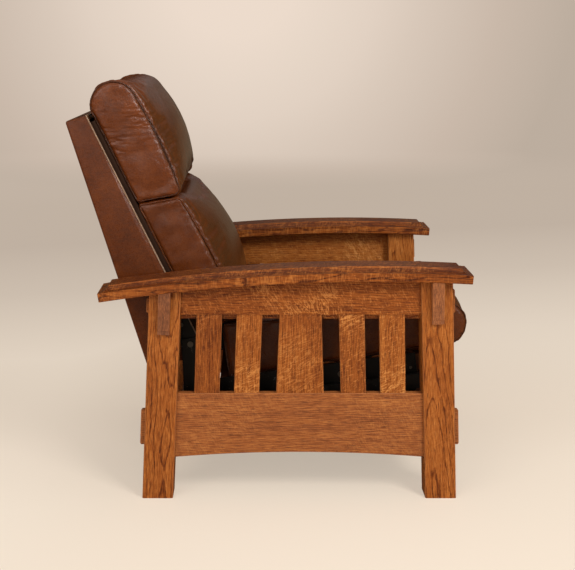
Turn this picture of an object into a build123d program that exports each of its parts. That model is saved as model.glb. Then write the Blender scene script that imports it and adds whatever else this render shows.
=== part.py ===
from build123d import *
import math
import os

os.makedirs("parts", exist_ok=True)

# Mission recliner in quarter-sawn oak and leather. Lengths are in millimetres, angles in degrees.
# The sitter faces -Y, +Z is up, and the origin is on the floor under the middle of the chair.
# Side-view places are written (forward, height): forward counts from the middle of the side
# panels towards the front, height from the floor.

# Side panels
chair_width = 838.0
arm_side_gap = 7.0
arm_overhang = 30.0
post_thickness = 68.0
post_width = 81.5
post_lean = 3.0
post_foot_place = 377.7
rail_setback = 12.0
rail_thickness = 22.0
bottom_rail_foot = 112.0
bottom_rail_top = 289.0
bottom_rail_arch = 14.0
top_rail_drop = 95.0
slat_lip_depth = 15.0
slat_lip_thickness = 5.0
slat_thickness = 14.0
narrow_slat_width = 66.0
slat_gap_shares = (0.36, 0.305)
slat_splay = 8.3
centre_slat_top_width = 108.0
centre_slat_foot_width = 125.0
glue_gap = 0.2
wood_ease = 1.5
post_ease = 2.5

# Arms, bent to one long arc, with a cove run round the top
arm_arc_radius = 4500.0
arm_crown_place = 180.0
arm_crown_height = 597.0
arm_front_overhang = 44.8
arm_rear_overhang = 126.8
arm_edge_thickness = 23.0
cove_width = 28.0
cove_depth = 12.5
cove_hollow = 5.0
arm_ease = 2.5

# Through tenons of the rails
tenon_thickness = 16.0
lower_tenon_foot = 147.0
lower_tenon_height = 96.0
lower_tenon_reach = 12.0
upper_tenon_drop = 91.0
front_upper_tenon_height = 62.0
rear_upper_tenon_height = 38.0
upper_tenon_reach = 7.0
tenon_chamfer = 3.0

# Corbels under the arms
corbel_width = 31.0
corbel_drop = 113.0
corbel_top_reach = 28.0
corbel_foot_reach = 9.0
corbel_toe = 11.0
corbel_toe_step = 2.0

# Stretchers between the side panels and their steel corner brackets
stretcher_drop = 214.0
front_stretcher_height = 34.0
front_stretcher_depth = 30.0
rear_stretcher_height = 78.0
rear_stretcher_depth = 24.0
stretcher_inset = 5.0
bracket_leg = 34.0
bracket_height = 24.0
bracket_sheet = 2.5
bracket_screw_radius = 2.2
bracket_screw_head_radius = 4.2
bracket_screw_head = 1.8

# Seat: the underside of the seat cushion is one sloping line, and the seat's parts are placed
# along it (forward) and square to it (up)
seat_slope = 7.7
seat_height = 326.0
seat_rear = 187.0
seat_thickness = 149.0
seat_roll_radius = 70.0
seat_roll_share = 0.72
seat_front = 449.0
seat_roll_rise = 63.8
seat_under_crown = 1.0
seat_crown = 15.0
seat_front_crown = 11.0
seat_draw_in = 5.0
soft_gap = 0.3

seat_frame_thickness = 22.0
seat_frame_depth = 45.0
seat_frame_rear = 214.0
seat_frame_front = 336.0

spring_wire_radius = 1.9
spring_pitch = 30.0
spring_swing = 54.0
spring_count = 5
spring_drop = 7.0

# Steel seat carriage, riding in a channel on each side panel
sheet_thickness = 4.0
carriage_gap = 12.0
channel_drop = 63.0
channel_height = 40.0
channel_sheet = 3.0
channel_depth = 13.0
channel_gap = 1.3
channel_end_lap = 22.0
shoe_length = 60.0
shoe_gap = 0.3
shoe_boss_radius = 9.0
rear_shoe_place = 198.0
front_shoe_place = 120.0
channel_screw_radius = 2.6
channel_screw_head_radius = 5.2
channel_screw_head = 2.2
channel_screw_spacing = 20.0
spacer_radius = 8.0
rear_spacer_place = 150.0
front_spacer_place = 110.0
spacer_drop = 24.0
plate_margin = 16.0
plate_top_rise = 8.0
pivot_boss = 22.0
plate_neck = 36.0

# Footrest linkage, folded under the seat: places are measured like the seat's parts
pin_radius = 4.0
pin_clearance = 0.06
pin_head_radius = 8.0
pin_head = 1.6
washer_gap = 0.3
link_width = 18.0
link_eye_radius = 11.0
drive_pivot_place = 298.0
drive_pivot_drop = 31.0
drive_length = 170.0
drive_angle = 250.0
outer_length = 170.0
outer_angle = 58.0
tail_length = 30.0
tail_angle = 203.0
steering_pivot_place = 255.0
steering_pivot_drop = 13.0
steering_eye_radius = 17.0
steering_slack = 8.0
link_layer_gap = 2.0
steering_layer_gap = 2.2
steering_sheet = 2.5
cross_tube_place = 85.0
cross_tube_radius = 9.0

# Footrest
board_thickness = 15.0
board_ahead = 14.0
board_below = 157.0
board_above = 28.0
board_end_gap = 0.2
pad_thickness = 36.0
pad_crown = 6.0
pad_side_inset = 13.8
pad_round = 12.0
board_screw_radius = 2.4
board_screw_length = 24.0
bracket_drop = 70.0
bracket_rise = 14.0

# Back: measured up along its front line and forward, square to it, from a point above the pivot
recline_pivot_place = 278.0
recline_pivot_rise = 112.0
back_lean = 25.5
pivot_below_datum = 199.0
pivot_behind_datum = 25.0
bracket_gap = 3.0
shell_wall = 12.0
shell_lean = 16.7
shell_top = 458.0
shell_top_depth = 56.0
shell_top_rise = 10.1
shell_foot = 255.0
back_proud = 12.6
upright_thickness = 22.0
upright_depth = 46.0
upright_foot = 224.0
upright_top = 438.0
cross_rail_height = 46.0
cross_rail_depth = 30.0
middle_rail_place = 100.0
middle_rail_setback = 26.0
back_spring_count = 4
back_bracket_width = 48.0
back_bracket_top = 72.0
back_bracket_end = 20.0
back_bolt_radius = 3.0
back_bolt_head_radius = 6.0
back_bolt_head = 2.2
upper_bolt_drop = 92.0
lower_bolt_drop = 142.0

# Back cushions
cushion_side_gap = 1.0
cushion_draw_in = 5.0
upper_seam_depth = 132.0
lower_seam_depth = 122.0
upper_crown = 52.0
lower_crown = 62.0
split_front = 170.0
split_rear = 196.0
split_gap = 3.0
upper_top = 514.0
lower_floor_gap = 8.0
corner_round = 16.0
top_round = 50.0
top_rear_drop = 46.0
front_fullness_share = 0.55
edge_fullness = 4.0

# Soft pieces are lofted through sections across their width: place, then share of the crown
section_shares = ((-1.0, 0.0), (-0.55, 0.8), (0.0, 1.0), (0.55, 0.8), (1.0, 0.0))

# One named overrun serves all cuts
overrun = 40.0
whole_turn = 360.0
right_angle = 90.0
half = 0.5


# Places worked out from the driving sizes

half_width = chair_width / 2
post_outer = half_width - arm_overhang
post_inner = post_outer - post_thickness
rail_outer = post_outer - rail_setback
rail_inner = rail_outer - rail_thickness
arm_centre_height = arm_crown_height - arm_arc_radius
arm_top = arm_edge_thickness + cove_depth
top_rail_foot = arm_crown_height - top_rail_drop
upper_tenon_foot = arm_crown_height - upper_tenon_drop
stretcher_foot = seat_height - stretcher_drop
plate_inner = (
    post_inner - channel_depth - channel_gap - steering_sheet - steering_layer_gap
    - sheet_thickness - link_layer_gap - sheet_thickness
)
seat_half = plate_inner - carriage_gap
shell_half = plate_inner - bracket_gap - sheet_thickness
hollow_half = shell_half - shell_wall
cushion_half = hollow_half - cushion_side_gap
arm_inner = shell_half + arm_side_gap
arm_width = half_width - arm_inner
lean_slope = math.tan(math.radians(post_lean))
post_half = post_width / 2 / math.cos(math.radians(post_lean))
slope_sin = math.sin(math.radians(seat_slope))
slope_cos = math.cos(math.radians(seat_slope))
back_sin = math.sin(math.radians(back_lean))
back_cos = math.cos(math.radians(back_lean))


def on_seat(ahead, above):
    """Side-view place from a distance along the seat's sloping underside and one square to it."""
    return (
        ahead * slope_cos - above * slope_sin,
        seat_height + ahead * slope_sin + above * slope_cos,
    )


def away(place, length, angle):
    """Side-view place at a length and an angle from another; 0 is forward and 90 is up."""
    turn = math.radians(angle)
    return (place[0] + length * math.cos(turn), place[1] + length * math.sin(turn))


recline_pivot = on_seat(-recline_pivot_place, recline_pivot_rise)
back_datum = (
    recline_pivot[0] + pivot_behind_datum * back_cos - pivot_below_datum * back_sin,
    recline_pivot[1] + pivot_behind_datum * back_sin + pivot_below_datum * back_cos,
)


def on_back(up, ahead):
    """Side-view place from a distance up along the back's front line and one square to it."""
    return (
        back_datum[0] - up * back_sin + ahead * back_cos,
        back_datum[1] + up * back_cos + ahead * back_sin,
    )


# The chair stands over the origin, midway between the seat's front roll and the back's top edge
front_reach = seat_front + seat_front_crown
rear_reach = -on_back(shell_top + shell_top_rise, -shell_top_depth)[0]
middle_y = (front_reach - rear_reach) / 2


def spot(place):
    """Turns a side-view place into the Y and Z of the chair."""
    return (middle_y - place[0], place[1])


def slab(places, x_from, x_to):
    """A flat side-view outline with straight edges, given its thickness across the chair."""
    outline = make_face(Polyline(*[spot(p) for p in places], close=True))
    return extrude(Plane.YZ.offset(x_from) * outline, amount=x_to - x_from)


def rod(place, radius, x_from, x_to):
    """A round bar across the chair."""
    y, z = spot(place)
    disc = Plane.YZ.offset(x_from) * Pos(y, z) * Circle(radius)
    return extrude(disc, amount=x_to - x_from)


def strap(start, end, width, x_from, x_to, start_eye, end_eye):
    """A flat steel link: a straight bar between two round eyes."""
    run = math.hypot(end[0] - start[0], end[1] - start[1])
    side = (
        -(end[1] - start[1]) / run * width / 2,
        (end[0] - start[0]) / run * width / 2,
    )
    corners = [
        (start[0] + side[0], start[1] + side[1]),
        (end[0] + side[0], end[1] + side[1]),
        (end[0] - side[0], end[1] - side[1]),
        (start[0] - side[0], start[1] - side[1]),
    ]
    bar = slab(corners, x_from, x_to)
    return bar + rod(start, start_eye, x_from, x_to) + rod(end, end_eye, x_from, x_to)


def long_edges(part, least):
    """The edges of a part that are longer than a given length."""
    return [edge for edge in part.edges() if edge.length > least]


def other_side(part):
    """The same piece on the other side of the chair."""
    return mirror(part, about=Plane.YZ)


def save(name, *pieces):
    """Writes one node from one or more separate solids."""
    solids = [solid for piece in pieces for solid in piece.solids()]
    export_step(Compound(children=solids), f"parts/{name}.step")


def save_pair(name, *pieces):
    """Writes a piece of the sitter's left side and its twin on the right side."""
    save(name + "_left", *pieces)
    save(name + "_right", *[other_side(piece) for piece in pieces])


def post_place(height, end):
    """How far forward a post's centre line is at a height; end is 1 in front and -1 behind."""
    return end * (post_foot_place - height * lean_slope)


# Everything under an arm stops at the arm's arc
arc_axis = Axis((0, *spot((arm_crown_place, arm_centre_height))), (1, 0, 0))
arc_point = Pos(0, *spot((arm_crown_place, arm_centre_height)))
under_arm = arc_point * Cylinder(
    arm_arc_radius - glue_gap, chair_width, rotation=(0, right_angle, 0)
)


def arm_underside(forward):
    """Height of the arm's underside at a forward place."""
    reach = forward - arm_crown_place
    return arm_centre_height + math.sqrt(arm_arc_radius**2 - reach**2)


# Rails with their through tenons


def tenon(end, foot, height, reach, slack):
    """A rail's tenon through one post; slack makes the hole that it passes."""
    low = foot - slack
    high = foot + height + slack
    middle = (rail_inner + rail_outer) / 2
    reach_out = post_half + reach
    places = [
        (post_place(low, end) - end * (post_half + overrun), low),
        (post_place(low, end) + end * reach_out, low),
        (post_place(high, end) + end * reach_out, high),
        (post_place(high, end) - end * (post_half + overrun), high),
    ]
    wide = tenon_thickness / 2 + slack
    return slab(places, middle - wide, middle + wide)


def cut_tenon(end, foot, height, reach):
    """A finished tenon, with its showing end chamfered."""
    piece = tenon(end, foot, height, reach, 0)
    showing = piece.faces().sort_by(Axis.Y)[-1 if end < 0 else 0]
    return chamfer(showing.edges(), tenon_chamfer)


upper_tenons = {1: front_upper_tenon_height, -1: rear_upper_tenon_height}


def rail_line(height, end):
    """Where a rail's shoulder meets the post's inner edge."""
    return (post_place(height, end) - end * post_half, height)


arch_rise = bottom_rail_foot + bottom_rail_arch
front_foot = rail_line(bottom_rail_foot, 1)
rear_foot = rail_line(bottom_rail_foot, -1)
arch_middle = ((front_foot[0] + rear_foot[0]) / 2, arch_rise)
rail_edge = Polyline(
    spot(rear_foot),
    spot(rail_line(bottom_rail_top, -1)),
    spot(rail_line(bottom_rail_top, 1)),
    spot(front_foot),
)
rail_arch = ThreePointArc(spot(front_foot), spot(arch_middle), spot(rear_foot))
rail_face = make_face(rail_edge + rail_arch)
bottom_rail = extrude(Plane.YZ.offset(rail_inner) * rail_face, amount=rail_thickness)
bottom_rail = chamfer(long_edges(bottom_rail, post_foot_place), wood_ease)

top_rail_reach = arm_crown_height + overrun
top_rail = slab(
    [
        rail_line(top_rail_foot, -1),
        rail_line(top_rail_reach, -1),
        rail_line(top_rail_reach, 1),
        rail_line(top_rail_foot, 1),
    ],
    rail_inner,
    rail_outer,
)
lip_foot = top_rail_foot - slat_lip_depth
slat_lip = slab(
    [
        rail_line(lip_foot, -1),
        rail_line(top_rail_foot + glue_gap, -1),
        rail_line(top_rail_foot + glue_gap, 1),
        rail_line(lip_foot, 1),
    ],
    rail_inner,
    rail_inner + slat_lip_thickness,
)
top_rail = (top_rail + slat_lip) & under_arm

for end in (1, -1):
    bottom_rail += cut_tenon(end, lower_tenon_foot, lower_tenon_height, lower_tenon_reach)
    top_rail += cut_tenon(end, upper_tenon_foot, upper_tenons[end], upper_tenon_reach)

save_pair("bottom_rail", bottom_rail)
save_pair("top_rail", top_rail)


# Posts, leaning in towards the top


def post(end):
    """A post with its two mortises, cut to the arm's arc."""
    top = arm_crown_height + overrun
    places = [
        (post_place(0, end) - post_half, 0),
        (post_place(top, end) - post_half, top),
        (post_place(top, end) + post_half, top),
        (post_place(0, end) + post_half, 0),
    ]
    piece = slab(places, post_inner, post_outer)
    piece = chamfer(long_edges(piece, bottom_rail_top), post_ease)
    piece = piece & under_arm
    piece -= tenon(end, lower_tenon_foot, lower_tenon_height, lower_tenon_reach, glue_gap)
    piece -= tenon(end, upper_tenon_foot, upper_tenons[end], upper_tenon_reach, glue_gap)
    return piece


save_pair("front_post", post(1))
save_pair("rear_post", post(-1))


# Slats, standing behind the top rail's edge and in front of its lip

slat_inner = rail_inner + slat_lip_thickness
slat_outer = slat_inner + slat_thickness


def slat(top_place, foot_place, top_width, foot_width):
    """One upright slat with eased long edges."""
    places = [
        (foot_place - foot_width / 2, bottom_rail_top),
        (top_place - top_width / 2, top_rail_foot),
        (top_place + top_width / 2, top_rail_foot),
        (foot_place + foot_width / 2, bottom_rail_top),
    ]
    piece = slab(places, slat_inner, slat_outer)
    return chamfer(long_edges(piece, centre_slat_foot_width + overrun), wood_ease)


bay_half = rail_line(top_rail_foot, 1)[0]
bay_free = bay_half - centre_slat_top_width / 2 - 2 * narrow_slat_width
slat_place = centre_slat_top_width / 2 - narrow_slat_width / 2
narrow_slats = []
for share in slat_gap_shares:
    slat_place += narrow_slat_width + bay_free * share
    for end in (-1, 1):
        narrow_slats.append(
            slat(
                end * slat_place,
                end * (slat_place + slat_splay),
                narrow_slat_width,
                narrow_slat_width,
            )
        )
save_pair("narrow_slats", *narrow_slats)
save_pair("centre_slat", slat(0, 0, centre_slat_top_width, centre_slat_foot_width))


# Arms: the cross-section is swung along the arc, then the coves of the two ends are cut


def cove(corner, outward, up):
    """The waste of a cove: a hollow curve from the arm's edge to its flat top."""
    frame = Plane(origin=corner, x_dir=outward, z_dir=outward.cross(up))
    inside = (-cove_width, cove_depth)
    chord = math.hypot(cove_width, cove_depth)
    middle = (
        -cove_width / 2 - cove_hollow * cove_depth / chord,
        cove_depth / 2 - cove_hollow * cove_width / chord,
    )
    hollow = ThreePointArc((0, 0), middle, inside)
    waste = Polyline(
        inside, (-cove_width, overrun), (overrun, overrun), (overrun, 0), (0, 0)
    )
    return frame * make_face(hollow + waste)


arc_y, arc_z = spot((arm_crown_place, arm_centre_height))
arm_end = post_place(arm_crown_height, 1) + post_half
arm_front = arm_end + arm_front_overhang
arm_rear = arm_end + arm_rear_overhang
arm_section = make_face(
    Polyline(
        (arm_inner, arm_arc_radius),
        (half_width, arm_arc_radius),
        (half_width, arm_arc_radius + arm_top),
        (arm_inner, arm_arc_radius + arm_top),
        close=True,
    )
)
arm_section = Plane(origin=(0, arc_y, arc_z), x_dir=(1, 0, 0), z_dir=(0, -1, 0)) * arm_section
front_swing = math.degrees(math.asin((arm_front - arm_crown_place) / arm_arc_radius))
rear_swing = math.degrees(math.asin((arm_rear + arm_crown_place) / arm_arc_radius))
arm = revolve(arm_section, arc_axis, revolution_arc=front_swing + rear_swing)
arm = arm.rotate(arc_axis, -rear_swing)


def on_underside(edge):
    """True for an edge that lies on the arm's lower arc."""
    middle = edge.position_at(half)
    reach = math.hypot(middle.Y - arc_y, middle.Z - arc_z)
    return abs(reach - arm_arc_radius) < glue_gap


arm = fillet([edge for edge in arm.edges() if on_underside(edge)], arm_ease)
edge_radius = arm_arc_radius + arm_edge_thickness
straight_up = Vector(0, 0, 1)
for edge_x, outward in ((half_width, Vector(1, 0, 0)), (arm_inner, Vector(-1, 0, 0))):
    waste = cove(Vector(edge_x, arc_y, arc_z + edge_radius), outward, straight_up)
    arm -= revolve(waste, arc_axis, revolution_arc=whole_turn)
for swing in (front_swing, -rear_swing):
    turn = math.radians(swing)
    up = Vector(0, -math.sin(turn), math.cos(turn))
    ahead = Vector(0, -math.cos(turn), -math.sin(turn))
    outward = ahead if swing > 0 else ahead * -1
    corner = Vector(half_width - arm_width / 2, arc_y, arc_z) + up * edge_radius
    arm -= extrude(cove(corner, outward, up), amount=arm_width, both=True)
save_pair("arm", arm)


# Corbels: tapered brackets on the outer face of each post


def corbel(end):
    """A corbel that leans with its post and dies into the arm."""
    head = arm_underside(post_place(arm_crown_height, end))
    foot = head - corbel_drop
    tall = corbel_drop + overrun
    slant = (corbel_top_reach - corbel_foot_reach - corbel_toe_step) / corbel_drop
    outline = make_face(
        Polyline(
            (post_outer, 0),
            (post_outer + corbel_foot_reach, 0),
            (post_outer + corbel_foot_reach, corbel_toe),
            (post_outer + corbel_foot_reach + corbel_toe_step, corbel_toe),
            (post_outer + corbel_top_reach, corbel_drop),
            (post_outer + corbel_top_reach + slant * overrun, tall),
            (post_outer, tall),
            close=True,
        )
    )
    centre = spot((post_place(foot, end), foot))
    frame = Plane(origin=(0, *centre), x_dir=(1, 0, 0), z_dir=(0, -1, 0))
    piece = extrude(frame * outline, amount=corbel_width / 2, both=True)
    piece = piece.rotate(Axis((0, *centre), (1, 0, 0)), -end * post_lean)
    showing = [
        edge for edge in long_edges(piece, corbel_drop / 2)
        if edge.position_at(half).X > post_outer + wood_ease
    ]
    return chamfer(showing, wood_ease) & under_arm


save_pair("corbels", corbel(1), corbel(-1))


# Stretchers and their corner brackets


def stretcher(end, foot, height, depth):
    """A cross rail from one side panel's post to the other's."""
    inner = post_place(foot + height, end) - end * (post_half - stretcher_inset)
    outer = inner + end * depth
    low, high = min(inner, outer), max(inner, outer)
    places = [(low, foot), (low, foot + height), (high, foot + height), (high, foot)]
    return slab(places, -post_inner, post_inner), low, high


front_stretcher, front_low, front_high = stretcher(
    1, stretcher_foot, front_stretcher_height, front_stretcher_depth
)
rear_stretcher, rear_low, rear_high = stretcher(
    -1, stretcher_foot, rear_stretcher_height, rear_stretcher_depth
)
save("front_stretcher", chamfer(long_edges(front_stretcher, post_inner), wood_ease))
save("rear_stretcher", chamfer(long_edges(rear_stretcher, post_inner), wood_ease))


def corner_bracket(face_place, facing, foot, height):
    """A steel angle in the corner of stretcher and post, with one screw into each."""
    low = foot + (height - bracket_height) / 2
    high = low + bracket_height
    near, far = face_place, face_place + facing * bracket_leg
    skin = face_place + facing * bracket_sheet
    on_stretcher = slab(
        [(near, low), (near, high), (skin, high), (skin, low)],
        post_inner - bracket_leg,
        post_inner,
    )
    on_post = slab(
        [(near, low), (near, high), (far, high), (far, low)],
        post_inner - bracket_sheet,
        post_inner,
    )
    middle = (low + high) / 2
    screw_place = (face_place + facing * bracket_leg / 2, middle)
    head_x = post_inner - bracket_sheet
    post_screw = rod(screw_place, bracket_screw_radius, head_x, post_inner)
    post_screw += rod(
        screw_place, bracket_screw_head_radius, head_x - bracket_screw_head, head_x
    )
    hole = rod(
        screw_place, bracket_screw_radius + glue_gap, post_inner - bracket_leg, post_inner
    )
    return (on_stretcher + on_post) - hole, post_screw


brackets = []
bracket_screws = []
for face, facing, height in (
    (front_low, -1, front_stretcher_height),
    (rear_high, 1, rear_stretcher_height),
):
    bracket, screw = corner_bracket(face, facing, stretcher_foot, height)
    brackets += [bracket, other_side(bracket)]
    bracket_screws += [screw, other_side(screw)]
save("corner_brackets", *brackets)
save("corner_bracket_screws", *bracket_screws)


# Channels on the side panels, in which the seat carriage slides

channel_inner = post_inner - channel_depth
slide_ahead = Vector(0, -slope_cos, slope_sin)
slide_up = Vector(0, slope_sin, slope_cos)


def along_slide(ahead, above):
    """A point of the slide line, as a vector in the plane of the chair's middle."""
    y, z = spot(on_seat(ahead, above - channel_drop))
    return Vector(0, y, z)


def channel_end(end):
    """How far along the slide line the channel laps a post."""
    line_height = seat_height - channel_drop
    edge = post_place(line_height, end) - end * post_half
    rise = edge * slope_sin / slope_cos
    return rail_line(line_height + rise, end)[0] / slope_cos + end * channel_end_lap


channel_front = channel_end(1)
channel_rear = channel_end(-1)
half_channel = channel_height / 2
flat = half_channel - channel_sheet
channel_outline = Polyline(
    (channel_inner, -half_channel),
    (post_inner, -half_channel),
    (post_inner, half_channel),
    (channel_inner, half_channel),
    (channel_inner, flat),
    (post_inner - channel_sheet, flat),
    (post_inner - channel_sheet, -flat),
    (channel_inner, -flat),
    close=True,
)
channel_frame = Plane(
    origin=along_slide(channel_rear, 0), x_dir=(1, 0, 0), z_dir=slide_ahead
)
channel = extrude(
    channel_frame * make_face(channel_outline), amount=channel_front - channel_rear
)
channel_screws = []
for place, end in ((channel_front, 1), (channel_rear, -1)):
    for step in (-half, half):
        centre = on_seat(
            place - end * channel_end_lap / 2, step * channel_screw_spacing - channel_drop
        )
        web = post_inner - channel_sheet
        screw = rod(centre, channel_screw_radius, web, post_inner)
        screw += rod(centre, channel_screw_head_radius, web - channel_screw_head, web)
        channel_screws += [screw, other_side(screw)]
        channel -= rod(centre, channel_screw_radius + glue_gap, web - overrun, post_inner)
save_pair("slide_channel", channel)
save("channel_screws", *channel_screws)


# Wooden seat frame, its springs and the seat cushion

frame_top = -soft_gap
frame_foot = -soft_gap - seat_frame_depth


def seat_bar(rear, front, x_from, x_to):
    """A bar of the seat frame, along the seat's slope."""
    places = [(rear, frame_foot), (rear, frame_top), (front, frame_top), (front, frame_foot)]
    return slab([on_seat(*p) for p in places], x_from, x_to)


rail_x = seat_half - seat_frame_thickness
side_bar = seat_bar(-seat_frame_rear, seat_frame_front, rail_x, seat_half)
save("seat_frame_sides", side_bar, other_side(side_bar))
save(
    "seat_frame_front",
    seat_bar(seat_frame_front - seat_frame_thickness, seat_frame_front, -rail_x, rail_x),
)
save(
    "seat_frame_rear",
    seat_bar(-seat_frame_rear, -seat_frame_rear + seat_frame_thickness, -rail_x, rail_x),
)


def spring(frame, start, end, centre):
    """Sweeps the wire of one zigzag spring in a plane."""
    turns = int((end - start) / spring_pitch)
    pitch = (end - start) / turns
    reach = (spring_swing - pitch) / 2
    pieces = [Line((start, centre), (start, centre - reach))]
    for turn in range(turns):
        side = 1 if turn % 2 else -1
        here = start + turn * pitch
        edge = centre + side * reach
        tip = centre + side * (reach + pitch / 2)
        pieces.append(
            ThreePointArc((here, edge), (here + pitch / 2, tip), (here + pitch, edge))
        )
        last = turn == turns - 1
        pieces.append(
            Line((here + pitch, edge), (here + pitch, centre if last else 2 * centre - edge))
        )
    path = frame * Wire(pieces)
    ring = Plane(origin=path @ 0, z_dir=path % 0) * Circle(spring_wire_radius)
    return sweep(ring, path=path)


seat_deck = Plane(
    origin=(0, *spot(on_seat(0, -spring_drop))), x_dir=slide_ahead, z_dir=slide_up
)
deck_rear = -seat_frame_rear + seat_frame_thickness + spring_wire_radius
deck_front = seat_frame_front - seat_frame_thickness - spring_wire_radius
spring_spacing = 2 * rail_x / (spring_count + half)
save(
    "seat_springs",
    *[
        spring(seat_deck, deck_rear, deck_front, (row - (spring_count - 1) / 2) * spring_spacing)
        for row in range(spring_count)
    ],
)


def seat_section(width_share, crown_share):
    """The seat cushion's side-view outline at one place across its width."""
    front = seat_front + seat_front_crown * crown_share
    roll_foot = on_seat((seat_front - seat_roll_radius) / slope_cos, 0)
    roll_centre = (roll_foot[0], roll_foot[1] + seat_roll_rise)
    under = roll_centre[1] - seat_roll_radius * seat_roll_share - seat_under_crown * crown_share
    rear_low = on_seat(-seat_rear, 0)
    rear_high = on_seat(-seat_rear, seat_thickness)
    low = (roll_centre[0], under)
    high = (roll_centre[0] - seat_roll_radius / 2, roll_centre[1] + seat_roll_radius * seat_roll_share)
    high = (high[0], high[1] + seat_crown * crown_share)
    middle = (
        (rear_high[0] + high[0]) / 2,
        (rear_high[1] + high[1]) / 2 + seat_crown * (half + crown_share * half) * half,
    )
    edge = Line(spot(rear_high), spot(rear_low))
    base = Line(spot(rear_low), spot(low))
    nose = ThreePointArc(spot(low), spot((front, roll_centre[1])), spot(high))
    top = ThreePointArc(spot(high), spot(middle), spot(rear_high))
    face = make_face(edge + base + nose + top)
    return Plane.YZ.offset(width_share * (seat_half + seat_draw_in)) * face


def drawn_in(frame, half_size, start, end, draw_in, reach):
    """A block whose two sides curve inwards between their corners, to trim a cushion."""
    middle = (start + end) / 2
    outline = make_face(
        ThreePointArc((start, half_size), (middle, half_size - draw_in), (end, half_size))
        + Line((end, half_size), (end, -half_size))
        + ThreePointArc(
            (end, -half_size), (middle, -half_size + draw_in), (start, -half_size)
        )
        + Line((start, -half_size), (start, half_size))
    )
    return extrude(frame * outline, amount=reach, both=True)


seat_cushion = loft([seat_section(*share) for share in section_shares])
seat_plan = Plane(origin=(0, middle_y, seat_height), x_dir=(0, -1, 0), z_dir=(0, 0, 1))
seat_trim = drawn_in(
    seat_plan,
    seat_half - washer_gap,
    -seat_rear - overrun,
    seat_front + seat_front_crown,
    seat_draw_in,
    chair_width,
)
save("seat_cushion", seat_cushion & seat_trim)


# Seat carriage: a steel plate each side, held off the seat frame by spacers

plate_outer = plate_inner + sheet_thickness
link_inner = plate_inner - link_layer_gap - sheet_thickness
link_outer = plate_inner - link_layer_gap
outer_inner = plate_outer + link_layer_gap
outer_outer = outer_inner + sheet_thickness
steering_inner = outer_outer + steering_layer_gap
steering_outer = steering_inner + steering_sheet

drive_pivot = on_seat(drive_pivot_place, -drive_pivot_drop)
steering_pivot = on_seat(steering_pivot_place, -steering_pivot_drop)
knee = away(drive_pivot, drive_length, drive_angle)
ankle = away(knee, outer_length, outer_angle)
tail = away(knee, tail_length, tail_angle)

plate_places = [
    on_seat(drive_pivot_place + plate_margin, plate_top_rise),
    on_seat(-seat_frame_rear - plate_margin, plate_top_rise),
    on_seat(-recline_pivot_place + pivot_boss, recline_pivot_rise + plate_margin),
    on_seat(-recline_pivot_place - pivot_boss, recline_pivot_rise + plate_margin),
    on_seat(-recline_pivot_place - plate_neck, -plate_margin),
    on_seat(-rear_shoe_place - pivot_boss, -channel_drop - plate_margin),
    on_seat(front_shoe_place + pivot_boss, -channel_drop - plate_margin),
    on_seat(steering_pivot_place + plate_margin, -drive_pivot_drop - plate_margin),
    on_seat(drive_pivot_place + plate_margin, -drive_pivot_drop - plate_margin),
]
carriage_plate = slab(plate_places, plate_inner, plate_outer)
pivot_hole = pin_radius + pin_clearance
carriage_plate -= rod(recline_pivot, pivot_hole, plate_inner - overrun, plate_outer + overrun)

spacers = []
for place in (-rear_spacer_place, front_spacer_place):
    centre = on_seat(place, -spacer_drop)
    bolt = rod(centre, spacer_radius, seat_half, plate_inner)
    bolt += rod(centre, pin_radius, plate_inner, plate_outer)
    bolt += rod(centre, spacer_radius, plate_outer, plate_outer + pin_head)
    carriage_plate -= rod(centre, pin_radius + glue_gap, plate_inner, plate_outer)
    spacers += [bolt, other_side(bolt)]

for centre in (drive_pivot, steering_pivot):
    carriage_plate -= rod(centre, pin_radius + glue_gap, plate_inner, plate_outer)
save_pair("carriage_plate", carriage_plate)
save("seat_spacer_bolts", *spacers)

shoe_half = flat - shoe_gap
shoe_outer = post_inner - channel_sheet - shoe_gap
shoe_inner = channel_inner + shoe_gap
shoes = []
for place in (-rear_shoe_place, front_shoe_place):
    start = along_slide(place - shoe_length / 2, 0)
    frame = Plane(origin=start, x_dir=(1, 0, 0), z_dir=slide_ahead)
    outline = make_face(
        Polyline(
            (shoe_inner, -shoe_half),
            (shoe_outer, -shoe_half),
            (shoe_outer, shoe_half),
            (shoe_inner, shoe_half),
            close=True,
        )
    )
    shoe = extrude(frame * outline, amount=shoe_length)
    boss = rod(on_seat(place, -channel_drop), shoe_boss_radius, plate_outer, shoe_outer)
    shoes += [shoe + boss, other_side(shoe + boss)]
save("slide_shoes", *shoes)


# Footrest linkage: the drive links hang from the carriage, the outer links carry the footrest,
# and the steering links keep the outer links turning


def eye_cut(piece, centre, radius):
    """Drills a round hole across a flat link."""
    return piece - rod(centre, radius, 0, half_width)


drive_link = strap(
    drive_pivot, knee, link_width, link_inner, link_outer, link_eye_radius, link_eye_radius
)
drive_link = eye_cut(drive_link, drive_pivot, pivot_hole)
drive_link = eye_cut(drive_link, knee, pin_radius + glue_gap)
save_pair("drive_link", drive_link)
tube_place = away(drive_pivot, cross_tube_place, drive_angle)
save("drive_cross_tube", rod(tube_place, cross_tube_radius, -link_inner, link_inner))

outer_link = strap(
    tail, ankle, link_width, outer_inner, outer_outer, link_eye_radius, link_eye_radius
)
outer_link += strap(
    tail, knee, link_width, outer_inner, outer_outer, link_eye_radius, link_eye_radius
)
outer_link += strap(
    knee, ankle, link_width, outer_inner, outer_outer, link_eye_radius, link_eye_radius
)
outer_link = eye_cut(outer_link, knee, pivot_hole)
outer_link = eye_cut(outer_link, ankle, pivot_hole)
outer_link = eye_cut(outer_link, tail, pin_radius + glue_gap)
save_pair("outer_link", outer_link)

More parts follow.
